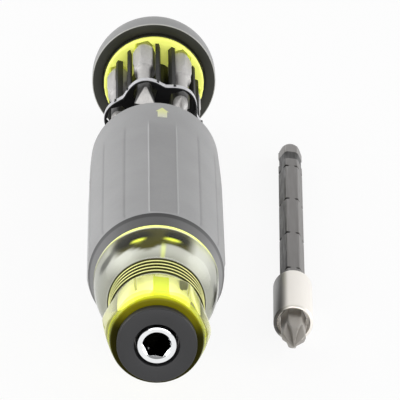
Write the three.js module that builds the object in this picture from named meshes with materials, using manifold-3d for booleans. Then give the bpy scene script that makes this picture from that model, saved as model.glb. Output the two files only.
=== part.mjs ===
// Multi-bit screwdriver: a hollow handle with a pull-out bit store, and its loose adjustable shaft.
// Millimetres, +Z up. The handle lies along Y with its nose towards -Y, and it rests on a flat of
// its grip at z = 0. The origin is the middle of that flat.

import * as THREE from 'three';
import { ConvexGeometry } from 'three/addons/geometries/ConvexGeometry.js';
import { mergeVertices } from 'three/addons/utils/BufferGeometryUtils.js';
import Module from 'manifold-3d';

const wasm = await Module();
wasm.setup();

// Clearances
const SEAT_GAP = 0.3;
const RUNNING_GAP = 0.2;
const HEX_GAP = 0.15;

// How far a cutting body runs past the face it cuts
const OVERRUN = 1;

// The 1/4 inch hex drive that the shaft and every bit share
const HEX_FLATS = 6.35;

// Nose: socket tube, plug and detent
const TUBE_RADIUS = 5.4;
const TUBE_LENGTH = 50;
const TUBE_MOUTH_RADIUS = 4.05;
const TUBE_FLANGE_WIDTH = 1.8;
const TUBE_FLANGE_LENGTH = 2;
const NOSE_RADIUS = 11;
const NOSE_BEVEL = 0.45;
const NOSE_FLANGE_LENGTH = 2.6;
const PLUG_RADIUS = 10.4;
const PLUG_LENGTH = 4.8;
const NOSE_RING_WIDTH = 0.85;
const NOSE_RING_DEPTH = 6.6;
const BALL_RADIUS = 1.3;
const BALL_DEPTH = 5.2;
const BALL_REACH = 0.6;
const BALL_CORNER_DEG = 240;
const SPRING_THICKNESS = 0.3;
const SPRING_LENGTH = 2.2;
const SPRING_OPENING_DEG = 70;

// Handle core: six-sided flare, ringed neck, dome and the sleeve under the grip
const CORE_RIM_RADIUS = 12.9;
const CORE_RIM_CHAMFER = 0.7;
const FLARE_FLATS = 26.6;
const FLARE_RADIUS = 15.1;
const FLARE_PEAK = 13.5;
const FLARE_LENGTH = 16.2;
const NECK_RADIUS = 12.9;
const NECK_RING_HEIGHT = 0.45;
const NECK_RING_PITCH = 2.1;
const NECK_RING_COUNT = 4;
const NECK_RING_FOOT = 0.35;
const NECK_RING_CREST = 0.5;
const NECK_RING_BACK = 0.8;
const DOME_START_RADIUS = 13.3;
const DOME_RADIUS = 17.6;
const DOME_LENGTH = 13.6;
const STORE_RADIUS = 15.75;
const STORE_FRONT_RADIUS = 10.8;
const STORE_FRONT_WALL = 3;
const CORE_WALL = 1.25;

// Grip
const GRIP_SIDES = 4;
const GRIP_RADIUS = 19.65;
const GRIP_FLATS = 38.3;
const GRIP_LENGTH = 86.7;
const GRIP_SHOULDER_LENGTH = 4.8;
const GRIP_SHOULDER_EDGE = 0.4;
const GRIP_TAPER_LENGTH = 28;
const GRIP_REAR_RADIUS = 18.9;
const GRIP_TAPER_BOW = 0.35;
const GRIP_EDGE = 0.7;
const ARROW_WIDTH = 4;
const ARROW_LENGTH = 7.4;
const ARROW_HEAD = 3;
const ARROW_STEM_SHARE = 0.7;
const ARROW_DEPTH = 0.8;
const ARROW_PROUD = 0.1;
const ARROW_FROM_REAR = 4.7;

// Pull-out bit store: cap, liner, carrier and its guide
const STORE_PULL = 62.6;
const CAP_RADIUS = 19.15;
const CAP_LENGTH = 20;
const CAP_SIDE_LENGTH = 4.2;
const CAP_FLOOR = 3.4;
const CAP_SLOPE_START = 0.5;
const CAP_FLOOR_SHARE = 0.72;
const LINER_SPIGOT = 2.3;
const LINER_POCKET = 6;
const BIT_COUNT = 6;
const BIT_CIRCLE = 11.2;
const BIT_PHASE_DEG = 111.5;
const HUB_RADIUS = 7;
const HUB_WALL = 1;
const PLATE_THICKNESS = 1.4;
const PLATE_DISTANCE = 32.3;
const PLATE_PEAK = 15.5;
const PLATE_VALLEY = 12.6;
const PLATE_LOBE_FULLNESS = 0.7;
const RIB_THICKNESS = 1.1;
const RIB_RADIUS = 13.8;
const RIB_HEIGHT = 2.6;
const GUIDE_RADIUS = 6;
const PISTON_LENGTH = 4;
const PISTON_INSIDE = 4;

// Stored bits
const BIT_HEX_LENGTH = 23;
const BIT_NECK_LENGTH = 16.5;
const BIT_TIP_LENGTH = 10;
const BIT_NECK_RADIUS = 2.25;
const BIT_SHOULDER = 1.2;
const TIP_ROOT = 2;

// Tip shapes as shares of the neck radius (girth) and of the tip length (run)
const CROSS = { web: 0.22, end: 0.26, coneRun: 0.6 };
const BLADE = { width: 1.45, edge: 0.24 };
const SQUARE = { flats: 1.25, point: 0.7, side: 0.95, bevelRun: 0.12, neckRun: 0.3 };
const STAR = { flutes: 6, pin: 0.86, fluteCircle: 1.12, flute: 0.34, neckRun: 0.3 };

// Loose shaft
const SHAFT_LENGTH = 118.8;
const SHAFT_SEATED = 10.5;
const SHAFT_DOME_LENGTH = 3.2;
const SHAFT_HEAD_LENGTH = 10.5;
const SHAFT_WAIST_LENGTH = 4.4;
const SHAFT_WAIST_RADIUS = 3.35;
const NOTCH_FIRST = 21;
const NOTCH_PITCH = 26.7;
const NOTCH_COUNT = 4;
const NOTCH_WIDTH = 1.3;
const NOTCH_RADIUS = 3.3;
const SLEEVE_RADIUS = 5.65;
const SLEEVE_LENGTH = 26;
const SLEEVE_BEVEL = 0.5;
const SLEEVE_MOUTH_RADIUS = 4.75;
const SLEEVE_MOUTH_DEPTH = 4.5;
const MAGNET_RADIUS = 2.8;
const MAGNET_LENGTH = 3;
const RING_THICKNESS = 0.5;
const RING_LENGTH = 0.9;
const RING_PLACE_SHARE = 0.25;
const DRIVER_HEX_PROUD = 3.2;
const DRIVER_TIP_LENGTH = 14.2;
const DRIVER_NECK_RADIUS = 3.5;
const SHAFT_X = 40.7;
const SHAFT_Y = -22;
const SHAFT_YAW_DEG = -1.6;

// Facets round a full turn
const FINE = 36;
const MEDIUM = 18;
const COARSE = 12;
const FLUTE = 8;

// Steps along each curved outline
const FLARE_STEPS = 8;
const DOME_STEPS = 6;
const STORE_FRONT_STEPS = 4;
const TAPER_STEPS = 5;
const CROWN_STEPS = 8;
const SHAFT_DOME_STEPS = 4;

// Sizes that follow from those above
const HEX_CORNER = HEX_FLATS / Math.sqrt(3);
const SOCKET_FLATS = HEX_FLATS + 2 * HEX_GAP;
const SOCKET_CORNER = SOCKET_FLATS / Math.sqrt(3);
const SHAFT_BORE_RADIUS = SOCKET_CORNER + HEX_GAP;
const TUBE_FLANGE_RADIUS = TUBE_RADIUS + TUBE_FLANGE_WIDTH;
const PLUG_END = NOSE_FLANGE_LENGTH + PLUG_LENGTH;
const FLANGE_START = PLUG_END + SEAT_GAP;
const FLANGE_END = FLANGE_START + TUBE_FLANGE_LENGTH;
const CORE_START = NOSE_FLANGE_LENGTH + SEAT_GAP;
const FLARE_END = CORE_START + FLARE_LENGTH;
const NECK_END = FLARE_END + NECK_RING_PITCH * NECK_RING_COUNT;
const DOME_END = NECK_END + DOME_LENGTH;
const STORE_FLOOR = NECK_END + STORE_FRONT_WALL;
const CORE_SLEEVE_RADIUS = STORE_RADIUS + CORE_WALL;
const GRIP_START = DOME_END + SEAT_GAP;
const GRIP_END = GRIP_START + GRIP_LENGTH;
const GRIP_BORE_RADIUS = CORE_SLEEVE_RADIUS + SEAT_GAP;
const CORE_END = GRIP_END - SEAT_GAP;
const AXIS_HEIGHT = GRIP_FLATS / 2;
const CAP_START = GRIP_END + STORE_PULL;
const CAP_END = CAP_START + CAP_LENGTH;
const LINER_FACE = CAP_START - LINER_SPIGOT;
const LINER_END = CAP_END - CAP_FLOOR - SEAT_GAP;
const LINER_RADIUS = STORE_RADIUS - SEAT_GAP;
const CAP_BORE_RADIUS = LINER_RADIUS + SEAT_GAP;
const CAP_FLOOR_RADIUS = CAP_BORE_RADIUS * CAP_FLOOR_SHARE;
const CAP_SLOPE = CAP_START + CAP_LENGTH * CAP_SLOPE_START;
const HUB_END = LINER_END - 2 * SEAT_GAP;
const GUIDE_BORE_END = HUB_END - HUB_WALL;
const GUIDE_END = GUIDE_BORE_END - SEAT_GAP;
const PLATE_START = LINER_FACE - PLATE_DISTANCE - PLATE_THICKNESS;
const PLATE_END = PLATE_START + PLATE_THICKNESS;
const POCKET_END = LINER_FACE + LINER_POCKET;
const BIT_HEX_END = POCKET_END - SEAT_GAP;
const BIT_HEX_START = BIT_HEX_END - BIT_HEX_LENGTH;
const PISTON_END = CORE_END - PISTON_INSIDE;
const PISTON_START = PISTON_END - PISTON_LENGTH;
const ORIGIN_S = (GRIP_START + GRIP_SHOULDER_LENGTH + GRIP_END - GRIP_TAPER_LENGTH) / 2;

// Materials
const paint = (color, roughness, metalness = 0) =>
  new THREE.MeshStandardMaterial({ color, roughness, metalness });
const LIME_CLEAR = new THREE.MeshStandardMaterial({
  color: 0xdfe64a,
  roughness: 0.12,
  metalness: 0,
  transparent: true,
  opacity: 0.6,
});
const LIME_OPAQUE = paint(0xeef260, 0.35);
const LIME_PALE = paint(0xdadd9c, 0.6);
const GREY_SOFT = paint(0x8f8f90, 0.75);
const BLACK_PLASTIC = paint(0x2b2b2a, 0.5);
const BLACK_CAP = paint(0x34342f, 0.6);
const CHROME = paint(0xe8e9ec, 0.08, 1);
const STEEL = paint(0x9c9a97, 0.4, 1);
const DARK_STEEL = paint(0x6f6d6d, 0.42, 1);
const NICKEL = paint(0xe6dfd3, 0.22, 1);
const SPRING_STEEL = paint(0x7f8186, 0.3, 1);

const radians = (degrees) => THREE.MathUtils.degToRad(degrees);

// A closed three.js geometry becomes a solid for joining and cutting
function solid(geometry) {
  const bare = geometry.index ? geometry.toNonIndexed() : geometry.clone();
  for (const name of Object.keys(bare.attributes)) {
    if (name !== 'position') bare.deleteAttribute(name);
  }
  const merged = mergeVertices(bare, 1e-4);
  const vertProperties = new Float32Array(merged.attributes.position.array);
  const kept = [];
  const index = merged.index.array;
  for (let i = 0; i < index.length; i += 3) {
    const [a, b, c] = [index[i], index[i + 1], index[i + 2]];
    if (a !== b && b !== c && c !== a) kept.push(a, b, c);
  }
  return new wasm.Manifold(new wasm.Mesh({ numProp: 3, vertProperties, triVerts: new Uint32Array(kept) }));
}

function geometryOf(body) {
  const mesh = body.getMesh();
  const geometry = new THREE.BufferGeometry();
  const positions = new Float32Array(mesh.numVert * 3);
  for (let i = 0; i < mesh.numVert; i += 1) {
    for (let k = 0; k < 3; k += 1) positions[3 * i + k] = mesh.vertProperties[mesh.numProp * i + k];
  }
  geometry.setAttribute('position', new THREE.BufferAttribute(positions, 3));
  geometry.setIndex([...mesh.triVerts]);
  geometry.computeVertexNormals();
  return geometry;
}

// A closed outline of [radius, place along the axis] turned about Y
function revolve(outline, segments) {
  const points = outline.map(([radius, along]) => new THREE.Vector2(Math.max(radius, 0), along));
  if (!(points[0].x === 0 && points.at(-1).x === 0)) points.push(points[0].clone());
  const turn = (list) => solid(new THREE.LatheGeometry(list, segments));
  const body = turn(points);
  return body.volume() > 0 ? body : turn([...points].reverse());
}

// A solid rod or a plain ring about Y
const rod = (radius, from, to, segments) =>
  revolve([[0, from], [radius, from], [radius, to], [0, to]], segments);
const ring = (inner, outer, from, to, segments) =>
  revolve([[inner, from], [outer, from], [outer, to], [inner, to]], segments);

// A flat outline in the X-Z plane drawn out along Y
function along(shape, from, to, curveSegments = COARSE) {
  const geometry = new THREE.ExtrudeGeometry(shape, { depth: to - from, bevelEnabled: false, curveSegments });
  geometry.rotateX(Math.PI / 2);
  geometry.translate(0, to, 0);
  return solid(geometry);
}

// A regular polygon with a flat on top, given across its flats
function polygon(sides, flats, x = 0, z = 0, turnDeg = 0) {
  const corner = flats / 2 / Math.cos(Math.PI / sides);
  const points = [];
  for (let i = 0; i < sides; i += 1) {
    const angle = Math.PI / 2 + Math.PI / sides + (2 * Math.PI * i) / sides + radians(turnDeg);
    points.push(new THREE.Vector2(x + corner * Math.cos(angle), z + corner * Math.sin(angle)));
  }
  return points;
}
const hexRod = (flats, from, to) => along(new THREE.Shape(polygon(6, flats)), from, to);

// A block given by its size and its middle
function block(width, length, height, x, y, z) {
  const geometry = new THREE.BoxGeometry(width, length, height);
  geometry.translate(x, y, z);
  return solid(geometry);
}

// A body turned about the Y axis so that what points along +X points at the given angle from the front
const turned = (body, degrees) => body.rotate([0, -degrees, 0]);
const at = (angleDeg, radius) => [radius * Math.cos(radians(angleDeg)), radius * Math.sin(radians(angleDeg))];

// A quarter-ellipse sweep of [radius, place] points from one end to the other
function ellipseSweep(fromRadius, fromPlace, toRadius, toPlace, steps) {
  const points = [];
  for (let i = 0; i <= steps; i += 1) {
    const angle = (Math.PI / 2) * (i / steps);
    const radius = fromRadius + (toRadius - fromRadius) * Math.sin(angle);
    points.push([radius, toPlace - (toPlace - fromPlace) * Math.cos(angle)]);
  }
  return points;
}

// Handle pieces: places along Y are measured from the nose face

function handleCore() {
  const flareRound = new THREE.SplineCurve([
    new THREE.Vector2(CORE_RIM_RADIUS, CORE_START + CORE_RIM_CHAMFER),
    new THREE.Vector2((CORE_RIM_RADIUS + 2 * FLARE_RADIUS) / 3, (CORE_START + FLARE_PEAK) / 2),
    new THREE.Vector2(FLARE_RADIUS, FLARE_PEAK),
    new THREE.Vector2(NECK_RADIUS, FLARE_END),
  ]);
  const flareOutline = flareRound.getPoints(FLARE_STEPS).map((point) => [point.x, point.y]);
  const flare = revolve([
    [0, CORE_START],
    [CORE_RIM_RADIUS - CORE_RIM_CHAMFER, CORE_START],
    ...flareOutline,
    [0, FLARE_END],
  ], FINE).intersect(hexRod(FLARE_FLATS, CORE_START, FLARE_END));

  const neckOutline = [];
  for (let i = 0; i < NECK_RING_COUNT; i += 1) {
    const start = FLARE_END + i * NECK_RING_PITCH;
    const crest = NECK_RADIUS + NECK_RING_HEIGHT;
    neckOutline.push([NECK_RADIUS, start]);
    neckOutline.push([NECK_RADIUS, start + NECK_RING_PITCH * NECK_RING_FOOT]);
    neckOutline.push([crest, start + NECK_RING_PITCH * NECK_RING_CREST]);
    neckOutline.push([crest, start + NECK_RING_PITCH * NECK_RING_BACK]);
  }
  const body = revolve([
    [0, FLARE_END - FLARE_LENGTH / 8],
    [NECK_RADIUS, FLARE_END - FLARE_LENGTH / 8],
    ...neckOutline,
    ...ellipseSweep(DOME_START_RADIUS, NECK_END, DOME_RADIUS, DOME_END, DOME_STEPS),
    [CORE_SLEEVE_RADIUS, DOME_END],
    [CORE_SLEEVE_RADIUS, CORE_END],
    [0, CORE_END],
  ], FINE);

  const storeFrontEnd = DOME_END + CORE_WALL;
  const storeFront = ellipseSweep(
    STORE_FRONT_RADIUS,
    STORE_FLOOR,
    STORE_RADIUS,
    storeFrontEnd,
    STORE_FRONT_STEPS,
  );
  const bores = revolve([
    [0, CORE_START - OVERRUN],
    [PLUG_RADIUS + SEAT_GAP, CORE_START - OVERRUN],
    [PLUG_RADIUS + SEAT_GAP, FLANGE_START - SEAT_GAP / 2],
    [TUBE_FLANGE_RADIUS + SEAT_GAP, FLANGE_START - SEAT_GAP / 2],
    [TUBE_FLANGE_RADIUS + SEAT_GAP, FLANGE_END + SEAT_GAP],
    [TUBE_RADIUS + RUNNING_GAP, FLANGE_END + SEAT_GAP],
    [TUBE_RADIUS + RUNNING_GAP, STORE_FLOOR],
    ...storeFront,
    [STORE_RADIUS, CORE_END + OVERRUN],
    [0, CORE_END + OVERRUN],
  ], FINE);
  return body.add(flare).subtract(bores);
}

function noseBush() {
  return revolve([
    [TUBE_RADIUS + NOSE_RING_WIDTH, 0],
    [NOSE_RADIUS - NOSE_BEVEL, 0],
    [NOSE_RADIUS, NOSE_BEVEL],
    [NOSE_RADIUS, NOSE_FLANGE_LENGTH],
    [PLUG_RADIUS, NOSE_FLANGE_LENGTH],
    [PLUG_RADIUS, PLUG_END],
    [TUBE_RADIUS + RUNNING_GAP, PLUG_END],
    [TUBE_RADIUS + RUNNING_GAP, NOSE_RING_DEPTH],
    [TUBE_RADIUS + NOSE_RING_WIDTH, NOSE_RING_DEPTH],
  ], FINE);
}

const BALL_PLACE_RADIUS = SOCKET_CORNER - BALL_REACH + BALL_RADIUS;

function socketTube() {
  const chamferDepth = TUBE_MOUTH_RADIUS - SOCKET_FLATS / 2;
  const outside = revolve([
    [0, 0],
    [TUBE_RADIUS, 0],
    [TUBE_RADIUS, FLANGE_START],
    [TUBE_FLANGE_RADIUS, FLANGE_START],
    [TUBE_FLANGE_RADIUS, FLANGE_END],
    [TUBE_RADIUS, FLANGE_END],
    [TUBE_RADIUS, TUBE_LENGTH],
    [0, TUBE_LENGTH],
  ], MEDIUM);
  const mouth = revolve([
    [0, -OVERRUN],
    [TUBE_MOUTH_RADIUS + OVERRUN, -OVERRUN],
    [SOCKET_FLATS / 2, chamferDepth],
    [0, chamferDepth],
  ], MEDIUM);
  const seatGeometry = new THREE.CylinderGeometry(
    BALL_RADIUS + RUNNING_GAP,
    BALL_RADIUS,
    TUBE_RADIUS,
    COARSE,
  );
  seatGeometry.rotateZ(-Math.PI / 2);
  seatGeometry.translate(TUBE_RADIUS / 2 + SOCKET_CORNER / 2, BALL_DEPTH, 0);
  const seat = turned(solid(seatGeometry), BALL_CORNER_DEG);
  const socket = hexRod(SOCKET_FLATS, -OVERRUN, TUBE_LENGTH + OVERRUN);
  return outside.subtract(socket).subtract(mouth).subtract(seat);
}

function detentBall() {
  const geometry = new THREE.SphereGeometry(BALL_RADIUS, COARSE, COARSE / 2);
  const [x, z] = at(BALL_CORNER_DEG, BALL_PLACE_RADIUS);
  geometry.translate(x, BALL_DEPTH, z);
  return solid(geometry);
}

function detentSpring() {
  const inner = BALL_PLACE_RADIUS + BALL_RADIUS + RUNNING_GAP / 4;
  const half = radians(SPRING_OPENING_DEG / 2);
  const opening = radians(BALL_CORNER_DEG + 180);
  const shape = new THREE.Shape();
  shape.absarc(0, 0, inner + SPRING_THICKNESS, opening + half, opening - half + 2 * Math.PI, false);
  shape.absarc(0, 0, inner, opening - half + 2 * Math.PI, opening + half, true);
  return along(shape, BALL_DEPTH - SPRING_LENGTH / 2, BALL_DEPTH + SPRING_LENGTH / 2);
}

// The grip's outside before its flats are cut, swollen by a small allowance
function gripRound(allowance) {
  const shoulderEnd = GRIP_START + GRIP_SHOULDER_LENGTH;
  const taperDrop = GRIP_RADIUS - GRIP_REAR_RADIUS;
  const taper = new THREE.SplineCurve([
    new THREE.Vector2(GRIP_RADIUS, GRIP_END - GRIP_TAPER_LENGTH),
    new THREE.Vector2(GRIP_RADIUS - taperDrop * GRIP_TAPER_BOW, GRIP_END - GRIP_TAPER_LENGTH / 2),
    new THREE.Vector2(GRIP_REAR_RADIUS, GRIP_END - GRIP_EDGE),
  ]);
  return revolve([
    [0, GRIP_START],
    [DOME_RADIUS + allowance, GRIP_START],
    [GRIP_RADIUS - GRIP_SHOULDER_EDGE / 2 + allowance, shoulderEnd - GRIP_SHOULDER_EDGE],
    [GRIP_RADIUS + allowance, shoulderEnd],
    ...taper.getPoints(TAPER_STEPS).map((point) => [point.x + allowance, point.y]),
    [GRIP_REAR_RADIUS - GRIP_EDGE + allowance, GRIP_END],
    [0, GRIP_END],
  ], FINE);
}

// A house-shaped arrow seen from above, pointing to the rear
function arrowBlock(margin) {
  const tip = GRIP_END - ARROW_FROM_REAR + margin;
  const back = GRIP_END - ARROW_FROM_REAR - ARROW_LENGTH - margin;
  const eaves = GRIP_END - ARROW_FROM_REAR - ARROW_HEAD;
  const wide = ARROW_WIDTH / 2 + margin;
  const narrow = (ARROW_WIDTH * ARROW_STEM_SHARE) / 2 + margin;
  const shape = new THREE.Shape();
  shape.moveTo(0, tip);
  shape.lineTo(-wide, eaves);
  shape.lineTo(-narrow, eaves);
  shape.lineTo(-narrow, back);
  shape.lineTo(narrow, back);
  shape.lineTo(narrow, eaves);
  shape.lineTo(wide, eaves);
  const geometry = new THREE.ExtrudeGeometry(shape, { depth: 2 * GRIP_RADIUS, bevelEnabled: false });
  return solid(geometry);
}
const arrowFloor = GRIP_REAR_RADIUS - ARROW_DEPTH;

function grip() {
  const flats = along(new THREE.Shape(polygon(GRIP_SIDES, GRIP_FLATS)), GRIP_START, GRIP_END);
  const bore = rod(GRIP_BORE_RADIUS, GRIP_START - OVERRUN, GRIP_END + OVERRUN, FINE);
  const pocketFloor = rod(arrowFloor - RUNNING_GAP, GRIP_START, GRIP_END, FINE);
  const pocket = arrowBlock(RUNNING_GAP).subtract(pocketFloor);
  return gripRound(0).intersect(flats).subtract(bore).subtract(pocket);
}

function pullArrow() {
  const underside = rod(arrowFloor, GRIP_START, GRIP_END, FINE);
  return arrowBlock(0).intersect(gripRound(ARROW_PROUD)).subtract(underside);
}

// Pull-out bit store

function capShell() {
  const side = CAP_START + CAP_SIDE_LENGTH;
  const crown = ellipseSweep(0, CAP_END, CAP_RADIUS, side, CROWN_STEPS).reverse();
  return revolve([
    [CAP_BORE_RADIUS, CAP_START],
    [CAP_RADIUS - GRIP_EDGE / 2, CAP_START],
    [CAP_RADIUS, CAP_START + GRIP_EDGE / 2],
    ...crown,
    [0, CAP_END - CAP_FLOOR],
    [CAP_FLOOR_RADIUS, CAP_END - CAP_FLOOR],
    [CAP_BORE_RADIUS, CAP_SLOPE],
  ], FINE);
}

const bitAngles = Array.from({ length: BIT_COUNT }, (_, i) => BIT_PHASE_DEG - (360 / BIT_COUNT) * i);

function capLiner() {
  let body = revolve([
    [0, LINER_FACE],
    [LINER_RADIUS - GRIP_EDGE / 2, LINER_FACE],
    [LINER_RADIUS, LINER_FACE + GRIP_EDGE / 2],
    [LINER_RADIUS, CAP_SLOPE - SEAT_GAP],
    [CAP_FLOOR_RADIUS - SEAT_GAP, LINER_END],
    [0, LINER_END],
  ], FINE);
  for (const angle of bitAngles) {
    const [x, z] = at(angle, BIT_CIRCLE);
    const pocket = new THREE.Shape(polygon(6, HEX_FLATS + 2 * RUNNING_GAP, x, z, angle - 90));
    body = body.subtract(along(pocket, LINER_FACE - OVERRUN, POCKET_END));
  }
  return body.subtract(rod(HUB_RADIUS + SEAT_GAP, LINER_FACE - OVERRUN, LINER_END - SEAT_GAP, MEDIUM));
}

// The carrier's front plate waves outwards round each bit
function plateOutline() {
  const points = [];
  for (let i = 0; i < FINE * 2; i += 1) {
    const degrees = (360 * i) / (FINE * 2);
    const wave = (1 + Math.cos(radians(BIT_COUNT * (degrees - BIT_PHASE_DEG)))) / 2;
    const radius = PLATE_VALLEY + (PLATE_PEAK - PLATE_VALLEY) * wave ** PLATE_LOBE_FULLNESS;
    points.push(new THREE.Vector2(...at(degrees, radius)));
  }
  return points;
}

function bitCarrier() {
  const shape = new THREE.Shape(plateOutline());
  let body = along(shape, PLATE_START, PLATE_END);
  body = body.add(rod(HUB_RADIUS, PLATE_START, HUB_END, MEDIUM));
  const channel = HEX_CORNER + SEAT_GAP;
  const ribLength = LINER_FACE - SEAT_GAP - PLATE_START;
  for (const angle of bitAngles) {
    for (const side of [-1, 1]) {
      const offset = side * (channel + RIB_THICKNESS / 2);
      const rib = block(RIB_HEIGHT, ribLength, RIB_THICKNESS, RIB_RADIUS - RIB_HEIGHT / 2,
        PLATE_START + ribLength / 2, offset);
      body = body.add(turned(rib, angle));
    }
  }
  const ribLimit = rod(RIB_RADIUS, PLATE_END, LINER_END, FINE);
  const plateLimit = rod(PLATE_PEAK, PLATE_START, PLATE_END, FINE);
  body = body.intersect(ribLimit.add(plateLimit));
  for (const angle of bitAngles) {
    const [x, z] = at(angle, BIT_CIRCLE);
    const hole = new THREE.Shape(polygon(6, HEX_FLATS + 2 * RUNNING_GAP, x, z, angle - 90));
    body = body.subtract(along(hole, PLATE_START - OVERRUN, LINER_FACE));
  }
  return body.subtract(rod(GUIDE_RADIUS + SEAT_GAP, PLATE_START - OVERRUN, GUIDE_BORE_END, MEDIUM));
}

// A rod that slides with the carrier and takes the shaft in its bore, with a piston in the handle's bore
function carrierGuide() {
  const pistonRadius = STORE_RADIUS - RUNNING_GAP;
  return revolve([
    [SHAFT_BORE_RADIUS, PISTON_START],
    [pistonRadius - GRIP_EDGE, PISTON_START],
    [pistonRadius, PISTON_START + GRIP_EDGE],
    [pistonRadius, PISTON_END],
    [GUIDE_RADIUS, PISTON_END],
    [GUIDE_RADIUS, GUIDE_END],
    [SHAFT_BORE_RADIUS, GUIDE_END],
  ], MEDIUM);
}

// Driver tips: each points along -Y from y = 0, and its root runs back into the neck

function taperedTip(radius, length, endRadius, coneLength) {
  return revolve([
    [0, -length],
    [endRadius, -length],
    [radius, -length + coneLength],
    [radius, TIP_ROOT],
    [0, TIP_ROOT],
  ], MEDIUM);
}

// Cross point: four square-cornered flutes that deepen towards the end and leave four wings
function crossTip(radius, length) {
  const web = radius * CROSS.web;
  const slope = Math.atan2(radius - web, length);
  const size = 2 * radius;
  let tip = taperedTip(radius, length, radius * CROSS.end, length * CROSS.coneRun);
  for (let i = 0; i < 4; i += 1) {
    const geometry = new THREE.BoxGeometry(size, 4 * length, size);
    geometry.rotateY(Math.PI / 4);
    geometry.translate(size / Math.SQRT2, 0, 0);
    geometry.rotateZ(-slope);
    geometry.translate(web, -length, 0);
    tip = tip.subtract(turned(solid(geometry), 45 + 90 * i));
  }
  return tip;
}

// Flat blade: the round neck flares to a wide thin edge, with a three-cornered flat above and below
function bladeTip(radius, length) {
  const points = [];
  for (let i = 0; i < MEDIUM; i += 1) {
    const [x, z] = at((360 / MEDIUM) * i, radius);
    points.push(new THREE.Vector3(x, 0, z), new THREE.Vector3(x, TIP_ROOT, z));
  }
  for (const x of [-BLADE.width * radius, BLADE.width * radius]) {
    points.push(new THREE.Vector3(x, -length, BLADE.edge * radius));
    points.push(new THREE.Vector3(x, -length, -BLADE.edge * radius));
  }
  return solid(new ConvexGeometry(points));
}

// Square point
function squareTip(radius, length) {
  const square = along(new THREE.Shape(polygon(4, radius * SQUARE.flats)), -length, 0);
  const collar = revolve([
    [0, -length],
    [radius * SQUARE.point, -length],
    [radius * SQUARE.side, -length * (1 - SQUARE.bevelRun)],
    [radius * SQUARE.side, 0],
    [0, 0],
  ], COARSE);
  const neck = taperedTip(radius, length * SQUARE.neckRun, radius * SQUARE.side, length * SQUARE.bevelRun);
  return square.intersect(collar).add(neck);
}

// Star point: round flutes in a short pin
function starTip(radius, length) {
  const pinRadius = radius * STAR.pin;
  const flute = rod(pinRadius * STAR.flute, -length - OVERRUN, OVERRUN, FLUTE);
  let pin = rod(pinRadius, -length, 0, COARSE);
  for (let i = 0; i < STAR.flutes; i += 1) {
    const [x, z] = at((360 / STAR.flutes) * i, pinRadius * STAR.fluteCircle);
    pin = pin.subtract(flute.translate([x, 0, z]));
  }
  return pin.add(rod(radius, -length * STAR.neckRun, TIP_ROOT, MEDIUM));
}

// A hexagonal bar whose corners are chamfered at both ends
function chamferedHex(from, to) {
  const corner = HEX_CORNER + HEX_GAP;
  const end = HEX_FLATS / 2 - BIT_SHOULDER / 3;
  const envelope = revolve([
    [0, from],
    [end, from],
    [corner, from + BIT_SHOULDER],
    [corner, to - BIT_SHOULDER],
    [end, to],
    [0, to],
  ], MEDIUM);
  return hexRod(HEX_FLATS, from, to).intersect(envelope);
}

const TIP_KINDS = [
  { tip: bladeTip, roll: 0 },
  { tip: crossTip, roll: 45 },
  { tip: squareTip, roll: 0 },
  { tip: starTip, roll: 0 },
  { tip: bladeTip, roll: 0 },
  { tip: crossTip, roll: 0 },
];

function storedBit(number) {
  const kind = TIP_KINDS[number % TIP_KINDS.length];
  const angle = bitAngles[number];
  const [x, z] = at(angle, BIT_CIRCLE);
  const neckEnd = BIT_HEX_START - BIT_NECK_LENGTH;
  const tip = turned(kind.tip(BIT_NECK_RADIUS, BIT_TIP_LENGTH), kind.roll).translate([0, neckEnd, 0]);
  const neck = revolve([
    [0, neckEnd],
    [BIT_NECK_RADIUS, neckEnd],
    [BIT_NECK_RADIUS, BIT_HEX_START - BIT_SHOULDER],
    [HEX_FLATS / 2 - BIT_SHOULDER / 3, BIT_HEX_START],
    [0, BIT_HEX_START + TIP_ROOT],
  ], MEDIUM);
  const hex = turned(chamferedHex(BIT_HEX_START, BIT_HEX_END), angle - 90);
  return hex.add(neck).add(tip).translate([x, 0, z]);
}

// Loose shaft: places along Y are measured from the front of its sleeve

const SHAFT_FRONT = SLEEVE_LENGTH - SHAFT_SEATED;
const SHAFT_REAR = SHAFT_FRONT + SHAFT_LENGTH;
const MAGNET_END = SHAFT_FRONT - SEAT_GAP;
const MAGNET_START = MAGNET_END - MAGNET_LENGTH;
const DRIVER_REAR = MAGNET_START - SEAT_GAP;

function driverShaft() {
  const head = SHAFT_REAR - SHAFT_HEAD_LENGTH;
  const waistEnd = head - SHAFT_WAIST_LENGTH;
  const corner = HEX_CORNER + HEX_GAP;
  const slope = corner - SHAFT_WAIST_RADIUS;
  const domeStart = SHAFT_REAR - SHAFT_DOME_LENGTH;
  const dome = ellipseSweep(0, SHAFT_REAR, HEX_FLATS / 2, domeStart, SHAFT_DOME_STEPS);
  const envelope = revolve([
    [0, SHAFT_FRONT],
    [HEX_FLATS / 2, SHAFT_FRONT],
    [corner, SHAFT_FRONT + slope],
    [corner, waistEnd - slope],
    [SHAFT_WAIST_RADIUS, waistEnd],
    [SHAFT_WAIST_RADIUS, head],
    [corner, head + slope],
    [corner, domeStart - slope],
    ...dome.reverse(),
  ], MEDIUM);
  let bar = hexRod(HEX_FLATS, SHAFT_FRONT, SHAFT_REAR).intersect(envelope);
  for (let i = 0; i < NOTCH_COUNT; i += 1) {
    const middle = SHAFT_REAR - NOTCH_FIRST - i * NOTCH_PITCH;
    const notch = revolve([
      [NOTCH_RADIUS, middle - NOTCH_WIDTH / 4],
      [corner + OVERRUN, middle - NOTCH_WIDTH],
      [corner + OVERRUN, middle + NOTCH_WIDTH],
      [NOTCH_RADIUS, middle + NOTCH_WIDTH / 4],
    ], MEDIUM);
    bar = bar.subtract(notch);
  }
  return bar;
}

const RING_PLACE = SLEEVE_LENGTH * RING_PLACE_SHARE;
const RING_INNER = SOCKET_CORNER + HEX_GAP / 2;

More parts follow.
